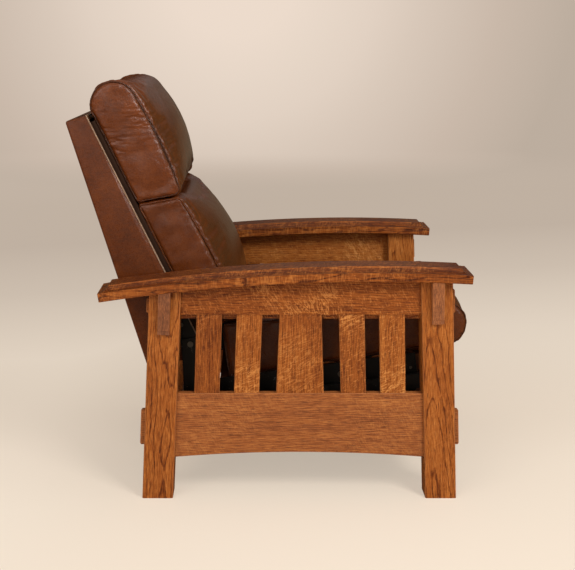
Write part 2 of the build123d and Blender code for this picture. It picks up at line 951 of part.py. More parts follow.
steering_link = strap(
    steering_pivot,
    tail,
    link_width,
    steering_inner,
    steering_outer,
    link_eye_radius,
    steering_eye_radius,
)
steering_link = eye_cut(steering_link, steering_pivot, pivot_hole)
steering_link = eye_cut(steering_link, tail, pin_radius + steering_slack)
save_pair("steering_link", steering_link)


def pin(centre, x_from, x_to, collar_from, collar_to, head_from, head_side, head_radius):
    """A pivot pin with a spacing collar and a head; head_side is 1 when the head is outside."""
    piece = rod(centre, pin_radius, x_from, x_to)
    piece += rod(centre, pin_head_radius, collar_from, collar_to)
    head_to = head_from + head_side * pin_head
    return piece + rod(centre, head_radius, min(head_from, head_to), max(head_from, head_to))


def save_pins(name, piece):
    """Writes the same pin for both sides of the chair as one node."""
    save(name, piece, other_side(piece))


drive_pin = pin(
    drive_pivot,
    link_inner - washer_gap,
    plate_outer,
    link_outer + washer_gap,
    plate_inner,
    link_inner - washer_gap,
    -1,
    pin_head_radius,
)
save_pins("drive_pivot_pins", drive_pin)
steering_pin = pin(
    steering_pivot,
    plate_inner,
    steering_outer + washer_gap,
    plate_outer,
    steering_inner - washer_gap,
    steering_outer + washer_gap - pin_clearance,
    1,
    pin_head_radius,
)
save_pins("steering_pivot_pins", steering_pin)
knee_pin = pin(
    knee,
    link_inner,
    outer_outer + washer_gap,
    link_outer,
    outer_inner - washer_gap,
    outer_outer + washer_gap - pin_clearance,
    1,
    pin_head_radius,
)
save_pins("knee_pins", knee_pin)
tail_pin = pin(
    tail,
    outer_inner,
    steering_outer + washer_gap,
    outer_outer,
    steering_inner - washer_gap,
    steering_outer + washer_gap - pin_clearance,
    1,
    pin_radius + steering_slack + link_layer_gap,
)
save_pins("tail_pins", tail_pin)
ankle_pin = pin(
    ankle,
    link_inner,
    outer_outer + washer_gap,
    link_outer,
    outer_inner - washer_gap,
    outer_outer + washer_gap - pin_clearance,
    1,
    pin_head_radius,
)
save_pins("ankle_pins", ankle_pin)


# Footrest: a board between two brackets, with a padded leather face

board_rear = ankle[0] + board_ahead
board_front = board_rear + board_thickness
board_foot = ankle[1] - board_below
board_top = ankle[1] + board_above
board_half = link_inner - board_end_gap
pad_half = board_half - pad_side_inset
board = slab(
    [(board_rear, board_foot), (board_rear, board_top), (board_front, board_top),
     (board_front, board_foot)],
    -board_half,
    board_half,
)

bracket_places = [
    (ankle[0], ankle[1] + link_eye_radius),
    (board_rear, ankle[1] + bracket_rise),
    (board_front, ankle[1] + bracket_rise),
    (board_front, ankle[1] - bracket_drop),
    (board_rear, ankle[1] - bracket_drop),
    (ankle[0], ankle[1] - link_eye_radius),
]
footrest_bracket = slab(bracket_places, link_inner, link_outer)
footrest_bracket += rod(ankle, link_eye_radius, link_inner, link_outer)
footrest_bracket = eye_cut(footrest_bracket, ankle, pin_radius + glue_gap)
board_screws = []
for drop in (-bracket_drop + link_eye_radius, -bracket_drop / 2):
    centre = ((board_rear + board_front) / 2, ankle[1] + drop)
    screw = rod(centre, board_screw_radius, board_half - board_screw_length, link_outer)
    screw += rod(centre, bracket_screw_head_radius, link_outer, link_outer + bracket_screw_head)
    hole = rod(
        centre, board_screw_radius + glue_gap, board_half - board_screw_length, link_outer
    )
    board = board - hole - other_side(hole)
    footrest_bracket -= hole
    board_screws += [screw, other_side(screw)]
save("footrest_board", board)
save_pair("footrest_bracket", footrest_bracket)
save("footrest_screws", *board_screws)


def pad_section(width_share, crown_share):
    """The footrest pad's side-view outline at one place across its width."""
    low = board_foot + washer_gap
    high = board_top - washer_gap
    face = board_front + pad_thickness
    middle = (board_foot + board_top) / 2
    start = board_front + board_end_gap
    corner = pad_round * math.sqrt(half)
    edge = Polyline(
        spot((face - pad_round, high)), spot((start, high)), spot((start, low)),
        spot((face - pad_round, low)),
    )
    lower = ThreePointArc(
        spot((face - pad_round, low)),
        spot((face - pad_round + corner, low + pad_round - corner)),
        spot((face, low + pad_round)),
    )
    front = ThreePointArc(
        spot((face, low + pad_round)),
        spot((face + pad_crown * (half + crown_share), middle)),
        spot((face, high - pad_round)),
    )
    upper = ThreePointArc(
        spot((face, high - pad_round)),
        spot((face - pad_round + corner, high - pad_round + corner)),
        spot((face - pad_round, high)),
    )
    section = make_face(edge + lower + front + upper)
    return Plane.YZ.offset(width_share * pad_half) * section


save("footrest_pad", loft([pad_section(*share) for share in section_shares]))


# Back: a leather-covered outer shell round a wooden frame with springs

shell_cos = math.cos(math.radians(back_lean - shell_lean))
shell_slope = math.tan(math.radians(back_lean - shell_lean))


def shell_rear(up, inset):
    """How far behind the back's front line the shell's rear face is."""
    return -(shell_top_depth + (shell_top - up) * shell_slope) + inset / shell_cos


foot_slope = math.tan(math.radians(back_lean - seat_slope))


def shell_floor(ahead, inset):
    """The shell's bottom edge, which runs along the seat's slope."""
    return -shell_foot - ahead * foot_slope + inset


def shell_corner(inset):
    """Where the shell's rear face meets its bottom edge."""
    top_rear = shell_rear(shell_top, inset)
    reach = (shell_foot + shell_top - inset) * shell_slope
    ahead = (top_rear - reach) / (1 + foot_slope * shell_slope)
    return shell_floor(ahead, inset), ahead


shell_outline = [
    (shell_floor(0, 0), 0),
    (shell_top, 0),
    (shell_top + shell_top_rise, shell_rear(shell_top, 0)),
    shell_corner(0),
]
hollow_outline = [
    (shell_floor(overrun, shell_wall), overrun),
    (shell_top - shell_wall, overrun),
    (shell_top - shell_wall, shell_rear(shell_top, shell_wall)),
    shell_corner(shell_wall),
]
shell = slab([on_back(*p) for p in shell_outline], -shell_half, shell_half)
shell -= slab([on_back(*p) for p in hollow_outline], -hollow_half, hollow_half)


def back_bar(foot, top, behind, ahead, x_from, x_to):
    """A bar of the back frame, between two heights and two depths of the back."""
    places = [(foot, behind), (top, behind), (top, ahead), (foot, ahead)]
    return slab([on_back(*p) for p in places], x_from, x_to)


upright_behind = back_proud - upright_depth
upright = back_bar(
    -upright_foot, upright_top, upright_behind, back_proud,
    hollow_half - upright_thickness, hollow_half,
)
rail_half = hollow_half - upright_thickness
rail_behind = back_proud - cross_rail_depth
lower_rail = back_bar(
    -upright_foot, -upright_foot + cross_rail_height, rail_behind, back_proud,
    -rail_half, rail_half,
)
upper_rail = back_bar(
    upright_top - cross_rail_height, upright_top, rail_behind, back_proud,
    -rail_half, rail_half,
)
middle_rail = back_bar(
    middle_rail_place,
    middle_rail_place + cross_rail_height,
    upright_behind,
    back_proud - middle_rail_setback,
    -rail_half,
    rail_half,
)

bracket_inner = shell_half
bracket_outer = shell_half + sheet_thickness
bracket_foot = -pivot_below_datum - back_bracket_end
bracket_middle = -pivot_behind_datum
back_bracket = back_bar(
    bracket_foot,
    -back_bracket_top,
    bracket_middle - back_bracket_width / 2,
    bracket_middle + back_bracket_width / 2,
    bracket_inner,
    bracket_outer,
)
back_bracket = eye_cut(back_bracket, recline_pivot, pin_radius + glue_gap)
back_bolts = []
for drop in (upper_bolt_drop, lower_bolt_drop):
    centre = on_back(-drop, bracket_middle)
    bolt = rod(centre, back_bolt_radius, hollow_half, bracket_outer)
    bolt += rod(centre, back_bolt_head_radius, bracket_outer, bracket_outer + back_bolt_head)
    hole = rod(centre, back_bolt_radius + glue_gap, hollow_half, bracket_outer)
    back_bracket -= hole
    shell = shell - hole - other_side(hole)
    back_bolts += [bolt, other_side(bolt)]

save("back_shell", shell)
save("back_frame_uprights", upright, other_side(upright))
save("back_frame_rails", lower_rail, middle_rail, upper_rail)
save_pair("back_bracket", back_bracket)
save("back_bracket_bolts", *back_bolts)

recline_pin = pin(
    recline_pivot,
    bracket_inner,
    plate_outer + washer_gap,
    bracket_outer,
    plate_inner - washer_gap,
    plate_outer + washer_gap - pin_clearance,
    1,
    pin_head_radius,
)
save_pins("recline_pivot_pins", recline_pin)

spring_plane = Plane(
    origin=(0, *spot(on_back(0, back_proud - spring_drop))),
    x_dir=(0, back_sin, back_cos),
    z_dir=(0, -back_cos, back_sin),
)
spring_foot = -upright_foot + cross_rail_height + spring_wire_radius
spring_top = upright_top - cross_rail_height - spring_wire_radius
back_spring_spacing = 2 * rail_half / (back_spring_count + half)
save(
    "back_springs",
    *[
        spring(
            spring_plane,
            spring_foot,
            spring_top,
            (row - (back_spring_count - 1) / 2) * back_spring_spacing,
        )
        for row in range(back_spring_count)
    ],
)


# Back cushions: boxed sides, a crowned face, and a soft round top on the upper one

cushion_behind = back_proud + soft_gap


def upper_section(width_share, crown_share):
    """The upper back cushion's side-view outline at one place across its width."""
    crown = upper_crown * crown_share
    depth = upper_seam_depth + crown + edge_fullness
    shoulder = upper_seam_depth + crown * front_fullness_share
    rear = (split_rear + split_gap, cushion_behind)
    front_low = (split_front + split_gap, upper_seam_depth - corner_round)
    front_start = (split_front + split_gap + corner_round + crown * half, shoulder)
    front_end = (upper_top - top_round - crown * half, shoulder + crown * half * half)
    face_middle = ((front_start[0] + front_end[0]) / 2, depth)
    rear_end = (upper_top - top_rear_drop, cushion_behind)
    summit = (upper_top, (front_end[1] + cushion_behind) / 2)
    lip = (
        front_low[0] + (front_start[0] - front_low[0]) * (half * half),
        front_low[1] + (front_start[1] - front_low[1]) * (half + half * half),
    )
    return stand(
        width_share,
        Line(side(rear), side(front_low)),
        ThreePointArc(side(front_low), side(lip), side(front_start)),
        ThreePointArc(side(front_start), side(face_middle), side(front_end)),
        ThreePointArc(side(front_end), side(summit), side(rear_end)),
        Line(side(rear_end), side(rear)),
    )


def side(place):
    """Chair coordinates of a place measured on the back."""
    return spot(on_back(*place))


def stand(width_share, *edges):
    """Makes a section's face and puts it at its share of the cushion's width."""
    face = make_face(Wire(edges))
    return Plane.YZ.offset(width_share * (cushion_half + cushion_draw_in)) * face


def floor_line(ahead):
    """Height up the back, at a depth, of the line just over the seat cushion's top."""
    above = seat_thickness + lower_floor_gap
    base = on_seat(0, above)
    run = base[0] - back_datum[0]
    rise = base[1] - back_datum[1]
    start_up = -run * back_sin + rise * back_cos
    start_ahead = run * back_cos + rise * back_sin
    return start_up - (ahead - start_ahead) * foot_slope


def lower_section(width_share, crown_share):
    """The lower back cushion's side-view outline at one place across its width."""
    crown = lower_crown * crown_share
    depth = lower_seam_depth + crown + edge_fullness
    shoulder = lower_seam_depth + crown * front_fullness_share
    rear_low = (floor_line(cushion_behind), cushion_behind)
    front_low_ahead = shoulder - corner_round
    front_low = (floor_line(front_low_ahead), front_low_ahead)
    front_start = (floor_line(shoulder) + corner_round + crown * half, shoulder)
    front_end = (split_front - corner_round - crown * half, shoulder)
    front_high = (split_front, lower_seam_depth - corner_round)
    rear_high = (split_rear, cushion_behind)
    face_middle = ((front_start[0] + front_end[0]) / 2, depth)
    lip = (
        front_low[0] + (front_start[0] - front_low[0]) * (half * half),
        front_low[1] + (front_start[1] - front_low[1]) * (half + half * half),
    )
    brow = (
        front_high[0] + (front_end[0] - front_high[0]) * (half * half),
        front_high[1] + (front_end[1] - front_high[1]) * (half + half * half),
    )
    return stand(
        width_share,
        Line(side(rear_low), side(front_low)),
        ThreePointArc(side(front_low), side(lip), side(front_start)),
        ThreePointArc(side(front_start), side(face_middle), side(front_end)),
        ThreePointArc(side(front_end), side(brow), side(front_high)),
        Line(side(front_high), side(rear_high)),
        Line(side(rear_high), side(rear_low)),
    )


back_plane = Plane(
    origin=(0, *spot(back_datum)), x_dir=(0, back_sin, back_cos), z_dir=(0, -back_cos, back_sin)
)


def trim_cushion(cushion, start, end):
    """Draws a back cushion's sides in between its corners."""
    trim = drawn_in(back_plane, cushion_half, start, end, cushion_draw_in, chair_width)
    return cushion & trim


upper_cushion = loft([upper_section(*share) for share in section_shares])
lower_cushion = loft([lower_section(*share) for share in section_shares])
save(
    "upper_back_cushion",
    trim_cushion(upper_cushion, split_front, upper_top),
)
save(
    "lower_back_cushion",
    trim_cushion(lower_cushion, floor_line(lower_seam_depth + lower_crown), split_rear),
)
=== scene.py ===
import math

import bmesh
import bpy
from mathutils import Matrix, Vector, noise
from mathutils.bvhtree import BVHTree
from mathutils.kdtree import KDTree


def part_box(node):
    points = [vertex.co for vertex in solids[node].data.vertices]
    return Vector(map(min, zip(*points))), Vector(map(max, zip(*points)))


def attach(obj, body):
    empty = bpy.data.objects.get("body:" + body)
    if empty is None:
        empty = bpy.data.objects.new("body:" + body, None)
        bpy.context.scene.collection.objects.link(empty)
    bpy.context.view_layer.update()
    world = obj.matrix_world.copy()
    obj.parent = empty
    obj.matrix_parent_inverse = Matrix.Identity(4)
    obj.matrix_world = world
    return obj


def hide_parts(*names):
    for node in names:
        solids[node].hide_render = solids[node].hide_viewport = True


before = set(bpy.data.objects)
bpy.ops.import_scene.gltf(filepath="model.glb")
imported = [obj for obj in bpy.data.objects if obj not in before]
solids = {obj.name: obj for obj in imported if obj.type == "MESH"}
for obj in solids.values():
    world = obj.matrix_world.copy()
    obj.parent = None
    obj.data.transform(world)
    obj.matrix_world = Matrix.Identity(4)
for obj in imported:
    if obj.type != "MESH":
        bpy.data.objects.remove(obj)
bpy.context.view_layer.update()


# Side panels: posts, rails, slats and bowed arms in quarter-sawn oak, stained a warm brown and
# lacquered. The rails run through the posts as tenons, corbels brace the arms, and two plain
# stretchers join the panels under the seat.


class Shade:
    """A value, colour or vector of a finish. Sums written with it add their own Math nodes."""

    def __init__(self, tree, socket=None):
        self.tree, self.socket = tree, socket

    def node(self, kind, settings=None, sockets=None, out=0):
        made = self.tree.nodes.new(kind)
        for name, value in (settings or {}).items():
            if name == "stops":
                ramp = made.color_ramp
                while len(ramp.elements) < len(value):
                    ramp.elements.new(1)
                for stop, (place, colour) in zip(ramp.elements, value):
                    stop.position, stop.color = place, (*colour, 1)
            else:
                setattr(made, name, value)
        for key, value in (sockets or {}).items():
            if isinstance(value, Shade):
                self.tree.links.new(value.socket, made.inputs[key])
            else:
                made.inputs[key].default_value = value
        return Shade(self.tree, made.outputs[out])

    def sum(self, operation, *values):
        return self.node("ShaderNodeMath", {"operation": operation}, dict(enumerate(values)))

    def __add__(self, other):
        return self.sum("ADD", self, other)

    def __sub__(self, other):
        return self.sum("SUBTRACT", self, other)

    def __rsub__(self, other):
        return self.sum("SUBTRACT", other, self)

    def __mul__(self, other):
        return self.sum("MULTIPLY", self, other)

    def __truediv__(self, other):
        return self.sum("DIVIDE", self, other)

    def __gt__(self, other):
        return self.sum("GREATER_THAN", self, other)

    __radd__, __rmul__ = __add__, __mul__

    def axis(self, letter):
        """One coordinate of a vector."""
        return self.node("ShaderNodeSeparateXYZ", None, {0: self}, out="XYZ".index(letter))

    def cloud(self, stretch, detail=2.0, rough=0.5, warp=0.0):
        """Soft noise from 0 to 1 on this vector, with its own number of specks per metre on each axis."""
        wide = self.node("ShaderNodeVectorMath", {"operation": "MULTIPLY"}, {0: self, 1: stretch})
        return self.node("ShaderNodeTexNoise", None, {
            "Vector": wide, "Scale": 1.0, "Detail": detail, "Roughness": rough, "Distortion": warp})

    def between(self, low, high, at_low=0.0, at_high=1.0):
        """A soft step of this value from one level to another."""
        return self.node("ShaderNodeMapRange", {"interpolation_type": "SMOOTHSTEP"}, {
            "Value": self, "From Min": low, "From Max": high, "To Min": at_low, "To Max": at_high})

    def tint(self, stops):
        """Colours along this value."""
        return self.node("ShaderNodeValToRGB", {"stops": stops}, {0: self})

    def blend(self, first, second):
        """Two colours mixed by this value."""
        return self.node("ShaderNodeMix", {"data_type": "RGBA"}, {0: self, 6: first, 7: second}, out=2)

    def bump(self, depth, strength=1.0):
        """A normal from this height."""
        return self.node("ShaderNodeBump", None, {"Height": self, "Distance": depth, "Strength": strength})


def finish(name):
    """An empty material and the place on the piece that its pattern starts from."""
    made = bpy.data.materials.new(name)
    made.use_nodes = True
    made.node_tree.nodes.clear()
    start = Shade(made.node_tree)
    return made, start.node("ShaderNodeTexCoord", out="Object")


def surface(place, **sockets):
    """Ends a finish in one shader; a word's underscore stands for a space."""
    named = {word.replace("_", " "): value for word, value in sockets.items()}
    shader = place.node("ShaderNodeBsdfPrincipled", None, named)
    output = place.tree.nodes.new("ShaderNodeOutputMaterial")
    place.tree.links.new(shader.socket, output.inputs["Surface"])


oak_stain = ((0.0, (0.040, 0.007, 0.0015)), (0.28, (0.130, 0.027, 0.0040)), (0.5, (0.290, 0.075, 0.0105)),
             (0.72, (0.450, 0.145, 0.026)), (1.0, (0.66, 0.28, 0.075)))


def oak(name, centre, width, grain, pith, climb=0.0, ring=0.0055, lines=0.22, fleck=0.5, curl=0.0, tone=0.0,
        pale=0.0, edge=0.3, painted_top_shade=0.0, boards=(), seed=0.0):
    """Oak cut with its grain along one axis; pith is where the tree's middle was, across the board."""
    made, place = finish(name)
    across, along = Vector(width), Vector(grain)
    turn = Matrix((across.cross(along), across, along)).transposed().to_euler()
    board = place.node("ShaderNodeMapping", {"vector_type": "TEXTURE"},
                       {"Vector": place, "Location": centre, "Rotation": turn})
    shift = board.node("ShaderNodeVectorMath", {"operation": "ADD"},
                       {0: board, 1: (seed, seed * 1.7, seed * 2.3)})
    if boards:
        number = sum((place.axis("Y") > cut for cut in boards[1:]), place.axis("Y") > boards[0])
        lot = number.node("ShaderNodeTexWhiteNoise", {"noise_dimensions": "1D"},
                          {"W": number + seed}, out="Color")
        shift = shift.node("ShaderNodeVectorMath", {"operation": "MULTIPLY_ADD"},
                           {0: lot, 1: (2.0, 2.0, 5.0), 2: shift})
        tone = (lot.axis("X") - 0.5) * 0.14 + tone
        fleck = lot.axis("Y").between(0.25, 0.6, 0.35, 1.0) * fleck
    wander = shift.cloud((9.0, 9.0, 2.2), 2.0)
    middle = board.node("ShaderNodeVectorMath", {"operation": "SUBTRACT"},
                        {0: board, 1: (pith[0], pith[1], 0.0)})
    flat = middle.node("ShaderNodeVectorMath", {"operation": "MULTIPLY"}, {0: middle, 1: (1.0, 1.0, 0.0)})
    reach = flat.node("ShaderNodeVectorMath", {"operation": "LENGTH"}, {0: flat}, out="Value")
    jitter = shift.cloud((60.0, 60.0, 9.0), 3.0, 0.6)
    years = (reach + board.axis("Z") * climb + (wander - 0.5) * 0.040 + (jitter - 0.5) * 0.007) / ring
    line = years.sum("FRACT", years)
    late = line.between(0.76, 0.93) * line.between(0.95, 1.0, 1.0, 0.0)
    fibre = shift.cloud((380.0, 380.0, 34.0), 4.0, 0.65, 0.35)
    streak = shift.cloud((95.0, 95.0, 4.5), 3.0, 0.6, 0.5)
    pore = shift.cloud((560.0, 560.0, 46.0), 2.0, 0.6).between(0.56, 0.70)
    slant = shift.node("ShaderNodeCombineXYZ", None, {0: shift.axis("X"), 1: shift.axis("Y"),
                                                      2: shift.axis("Z") + shift.axis("Y") * 0.45})
    ribbon = slant.cloud((14.0, 27.0, 86.0), 2.0, 0.5, 1.1)
    ribbon = (ribbon - 0.5).sum("ABSOLUTE", ribbon - 0.5).between(0.008, 0.050, 1.0, 0.0)
    speck = slant.cloud((70.0, 105.0, 330.0), 2.0, 0.5, 0.6).between(0.54, 0.68)
    where = shift.cloud((5.0, 5.0, 4.0), 1.0).between(0.42, 0.54)
    ray = (ribbon * where + speck * 0.55) * fleck
    patch = shift.cloud((3.5, 3.5, 2.2), 1.0)
    wave = slant.cloud((10.0, 12.0, 62.0), 1.0, 0.4, 0.5)
    depth = ((fibre - 0.5) * 1.05 + (streak - 0.5) * 0.42 - late * lines + ray * 0.27 + (patch - 0.5) * 0.26
             + (wave - 0.5) * curl + 0.54)
    side = place.node("ShaderNodeTexCoord", out="Normal")
    # Painted shade: faces that look up are made darker, for arm tops that the lamps should light less than
    # their faces.
    depth = depth - side.axis("Z").between(0.55, 0.8) * painted_top_shade
    colour = (depth + tone).tint(oak_stain)
    colour = (pore * 0.62).blend(colour, (0.050, 0.011, 0.003, 1))
    colour = (ray * 0.34).blend(colour, (0.62, 0.27, 0.075, 1))
    colour = (fibre * pale).blend(colour, (0.46, 0.25, 0.150, 1))
    # Faces that slant between the piece's sides, such as chamfers and coves, are lightened by edge: partly
    # wear, partly a painted highlight along the edges.
    side = side.node("ShaderNodeVectorMath", {"operation": "ABSOLUTE"}, {0: side})
    square = side.sum("MAXIMUM", side.axis("X"), side.sum("MAXIMUM", side.axis("Y"), side.axis("Z")))
    edge_wear_and_highlight = square.between(0.72, 0.93, 1.0, 0.0)
    colour = (edge_wear_and_highlight * edge).blend(colour, (0.50, 0.20, 0.075, 1))
    surface(place, Base_Color=colour, Roughness=0.36 + pore * 0.25 + fibre * 0.10, Coat_Weight=0.07,
            Coat_Roughness=0.18, Specular_IOR_Level=0.19,
            Normal=(fibre * 0.6 + streak * 0.3 - pore * 0.8 + ray * 0.15).bump(0.0006, 0.6))
    return made


def dress(coat, *names):
    """Gives CAD nodes a finish."""
    for name in names:
        node = solids[name]
        if node.material_slots:
            for slot in node.material_slots:
                slot.material = coat
        else:
            node.data.materials.append(coat)


post_lean = math.radians(3.0)
panel_x, panel_y = 0.355, -0.073
slat_gaps = (-0.261, -0.153, 0.007, 0.115)
corbel_gap = (-0.07,)
across_x, along_y, up_z, down_z = (1, 0, 0), (0, 1, 0), (0, 0, 1), (0, 0, -1)
for side, x in (("left", panel_x), ("right", -panel_x)):
    out = math.copysign(1, x)
    # Painted light: the left panel's posts and top rail, on the far side from the camera, are made lighter
    # to lift the shade they stand in.
    far_panel_painted_light = 0.065 if side == "left" else 0.0
    for end, y, way in (("front", -0.4297, 1), ("rear", 0.2840, -1)):
        lean = Vector((0, way * math.sin(post_lean), math.cos(post_lean)))
        dress(oak(f"oak_{end}_post_{side}", (x, y, 0.3), (0, lean.z, -lean.y), lean,
                  pith=(0.075 * -out * way, 0.012 * way), climb=0.026 * way, ring=0.0062, lines=0.30,
                  fleck=0.10, tone=0.045 + far_panel_painted_light, seed=3.1 * way + x * 9),
              f"{end}_post_{side}")
    dress(oak(f"oak_top_rail_{side}", (x, panel_y, 0.55), down_z, along_y, pith=(0.02, -0.25),
              climb=0.02, ring=0.0065, fleck=0.95, curl=0.15, tone=-0.10 + 2.8 * far_panel_painted_light, seed=1.7 + x),
          f"top_rail_{side}")
    dress(oak(f"oak_bottom_rail_{side}", (x, panel_y, 0.20), down_z, along_y, pith=(0.01, -0.30),
              climb=-0.015, ring=0.0060, fleck=0.25, tone=-0.005, pale=0.20, seed=6.3 + x),
          f"bottom_rail_{side}")
    dress(oak(f"oak_slats_{side}", (x, panel_y, 0.40), along_y, up_z, pith=(0.015, -0.35),
              climb=0.01, ring=0.0065, fleck=1.2, curl=0.10, tone=-0.022, boards=slat_gaps, seed=2.4 + x),
          f"narrow_slats_{side}", f"centre_slat_{side}")
    dress(oak(f"oak_arm_{side}", (x, panel_y, 0.60), across_x, along_y, pith=(-0.03, -0.16 * out),
              climb=0.02, ring=0.0050, lines=0.30, fleck=0.45, curl=0.16, tone=-0.13, edge=0.0, painted_top_shade=0.16,
              seed=4.9 + x),
          f"arm_{side}")
    dress(oak(f"oak_corbels_{side}", (x + out * 0.05, panel_y, 0.54), along_y, up_z, pith=(0.03, -0.2),
              ring=0.005, fleck=0.6, tone=-0.175, pale=0.40, boards=corbel_gap, seed=8.8 + x),
          f"corbels_{side}")
for end, y in (("front", -0.42), ("rear", 0.24)):
    dress(oak(f"oak_{end}_stretcher", (0, y, 0.14), up_z, across_x, pith=(0.02, -0.25),
              ring=0.005, fleck=0.3, tone=-0.03, seed=y * 10),
          f"{end}_stretcher")


# Seat carriage and footrest links: steel plates and flat bars painted black, on bright zinc-plated
# pins and screws, sliding on nylon shoes in painted channels.


def metal(name, colour, shine, rough, chips):
    """Painted or plated steel, with scuffs down to brighter metal."""
    made, place = finish(name)
    scuff = place.cloud((90.0, 90.0, 90.0), 5.0, 0.65)
    mark = place.cloud((14.0, 14.0, 14.0), 3.0)
    chip = (scuff * 0.6 + mark * 0.4).between(0.60, 0.66) * chips
    pebble = place.cloud((700.0, 700.0, 700.0), 2.0)
    tone = (mark * 0.5 + 0.25).blend((*[c * 0.75 for c in colour], 1), (*[c * 1.25 for c in colour], 1))
    surface(place, Base_Color=chip.blend(tone, (0.22, 0.21, 0.20, 1)), Metallic=chip * (1 - shine) + shine,
            Roughness=rough + (scuff - 0.5) * 0.22 + chip * 0.1, Specular_IOR_Level=0.25,
            Normal=(pebble * 0.7 + scuff).bump(0.0002, 0.4))
    return made


dress(metal("black_painted_steel", (0.0110, 0.0105, 0.0100), 0.0, 0.40, 0.4),
      *[n.format(s) for s in ("left", "right") for n in (
          "slide_channel_{}", "carriage_plate_{}", "drive_link_{}", "outer_link_{}", "steering_link_{}",
          "footrest_bracket_{}", "back_bracket_{}")], "corner_brackets", "drive_cross_tube")
dress(metal("zinc_plated_steel", (0.16, 0.15, 0.13), 0.92, 0.44, 0.3),
      "corner_bracket_screws", "channel_screws", "seat_spacer_bolts", "drive_pivot_pins",
      "steering_pivot_pins", "knee_pins", "tail_pins", "ankle_pins", "footrest_screws",
      "back_bracket_bolts", "recline_pivot_pins")
dress(metal("spring_steel", (0.20, 0.19, 0.18), 0.85, 0.42, 0.4), "seat_springs", "back_springs")


def nylon(name):
    """Off-white moulded nylon with faint flow marks."""
    made, place = finish(name)
    flow = place.cloud((60.0, 9.0, 60.0), 3.0, 0.6, 0.4)
    surface(place, Base_Color=flow.blend((0.60, 0.57, 0.50, 1), (0.76, 0.74, 0.68, 1)),
            Roughness=flow * 0.2 + 0.38, Normal=flow.bump(0.0003, 0.3))
    return made


dress(nylon("nylon_shoes"), "slide_shoes")


# Seat and back frames and the footrest's board: sawn hardwood under the leather. Their ends and
# edges show past it, so the seat frame and board are stained brown and the back frame nearly black.


def sawn_wood(name, grain, stain):
    """Sawn hardwood with saw marks, darkened by a stain."""
    made, place = finish(name)
    stretch = [34.0, 34.0, 34.0]
    stretch["XYZ".index(grain)] = 2.5
    band = place.cloud(tuple(stretch), 3.0, 0.55, 0.4)
    fine = place.cloud(tuple(9 * s for s in stretch), 2.0)
    saw = place.cloud(tuple(8.0 if s > 3 else 210.0 for s in stretch), 1.0)
    depth = band * 0.6 + fine * 0.3 + saw * 0.12
    tones = [(at, tuple(share * level for share, level in zip(stain, colour))) for at, colour in (
        (0.25, (0.30, 0.17, 0.075)), (0.55, (0.50, 0.32, 0.16)), (0.85, (0.64, 0.45, 0.26)))]
    surface(place, Base_Color=depth.tint(tones), Specular_IOR_Level=0.2,
            Roughness=0.62 + fine * 0.15, Normal=(fine * 0.6 + saw * 0.6).bump(0.0005, 0.5))
    return made


dark_stain = (0.060, 0.034, 0.026)
brown_stain = (0.22, 0.11, 0.07)
dress(sawn_wood("brown_wood_across", "X", brown_stain), "seat_frame_front", "seat_frame_rear",
      "footrest_board")
dress(sawn_wood("brown_wood_along", "Y", brown_stain), "seat_frame_sides")
dress(sawn_wood("stained_wood_across", "X", dark_stain), "back_frame_rails")
dress(sawn_wood("stained_wood_up", "Z", dark_stain), "back_frame_uprights")


# Cushions and footrest pad: foam in dark brown leather, boxed at the sides, with a welt sewn round
# each side panel. Each cover is blown up over its foam and held down along its seams.

hide_dark = (0.036, 0.0078, 0.0020)
hide = (0.116, 0.0265, 0.0052)
hide_pale = (0.230, 0.0600, 0.0140)


def leather(name, sewn=True, tan=(1.0, 1.0, 1.0), rough=0.30, sheen=0.36):
    """Brown full-grain leather: pebbled grain, soft creases, a painted olive reflection on faces turned
    to the front, and painted shade in a darker line where it is sewn."""
    made, place = finish(name)
    cell = place.node("ShaderNodeTexVoronoi", {"feature": "DISTANCE_TO_EDGE"},
                      {"Vector": place, "Scale": 430.0, "Randomness": 0.95}, out="Distance")
    cell = cell.between(0.0, 0.16)
    pebble = place.cloud((300.0, 300.0, 300.0), 3.0, 0.6)
    crease = place.cloud((70.0, 30.0, 60.0), 6.0, 0.66, 0.8)
    ridge = (crease - 0.5).sum("ABSOLUTE", crease - 0.5).between(0.0, 0.05, 0.0, 1.0)
    patch = place.cloud((7.0, 7.0, 7.0), 3.0)
    cloudy = place.cloud((30.0, 30.0, 30.0), 4.0, 0.6)
    depth = patch * 0.22 + cloudy * 0.24 + pebble * 0.16 + ridge * 0.07 + cell * 0.05 + 0.17
    tones = [(at, tuple(share * level for share, level in zip(tan, colour)))
             for at, colour in ((0.32, hide_dark), (0.54, hide), (0.80, hide_pale))]
    colour = depth.tint(tones)
    # Painted reflection: faces that turn to the front take an olive cast, for the pale backdrop reflected
    # in them.
    painted_front_reflection = place.node("ShaderNodeTexCoord", out="Normal").axis("Y").between(-0.90, -0.35, 0.45, 0.0)
    colour = painted_front_reflection.blend(colour, (0.082, 0.0330, 0.0050, 1))
    height = cell * 0.30 + pebble * 0.45 + ridge * 0.45 + crease * 0.35
    if sewn:
        near = place.node("ShaderNodeAttribute", {"attribute_name": "near_seam"}, out="Fac")
        along = place.node("ShaderNodeAttribute", {"attribute_name": "along_seam"}, out="Fac")
        gather = along.node("ShaderNodeCombineXYZ", None, {0: along * 150.0, 1: near * 1.6, 2: patch * 2.0})
        gather = gather.node("ShaderNodeTexNoise", None, {"Vector": gather, "Scale": 1.0, "Detail": 2.0})
        height = height + gather * near * 1.5
        # Painted shade: the leather turns nearly black close to each seam, in its groove.
        colour = (near.between(0.76, 0.93) * 0.85).blend(colour, (0.020, 0.0055, 0.0020, 1))
    surface(place, Base_Color=colour, Roughness=rough - cell * 0.05 + pebble * 0.12 - ridge * 0.03,
            Coat_Weight=0.10, Coat_Roughness=0.20, Specular_IOR_Level=sheen,
            Normal=height.bump(0.0011, 0.26))
    return made


cover_leather = leather("cushion_leather")
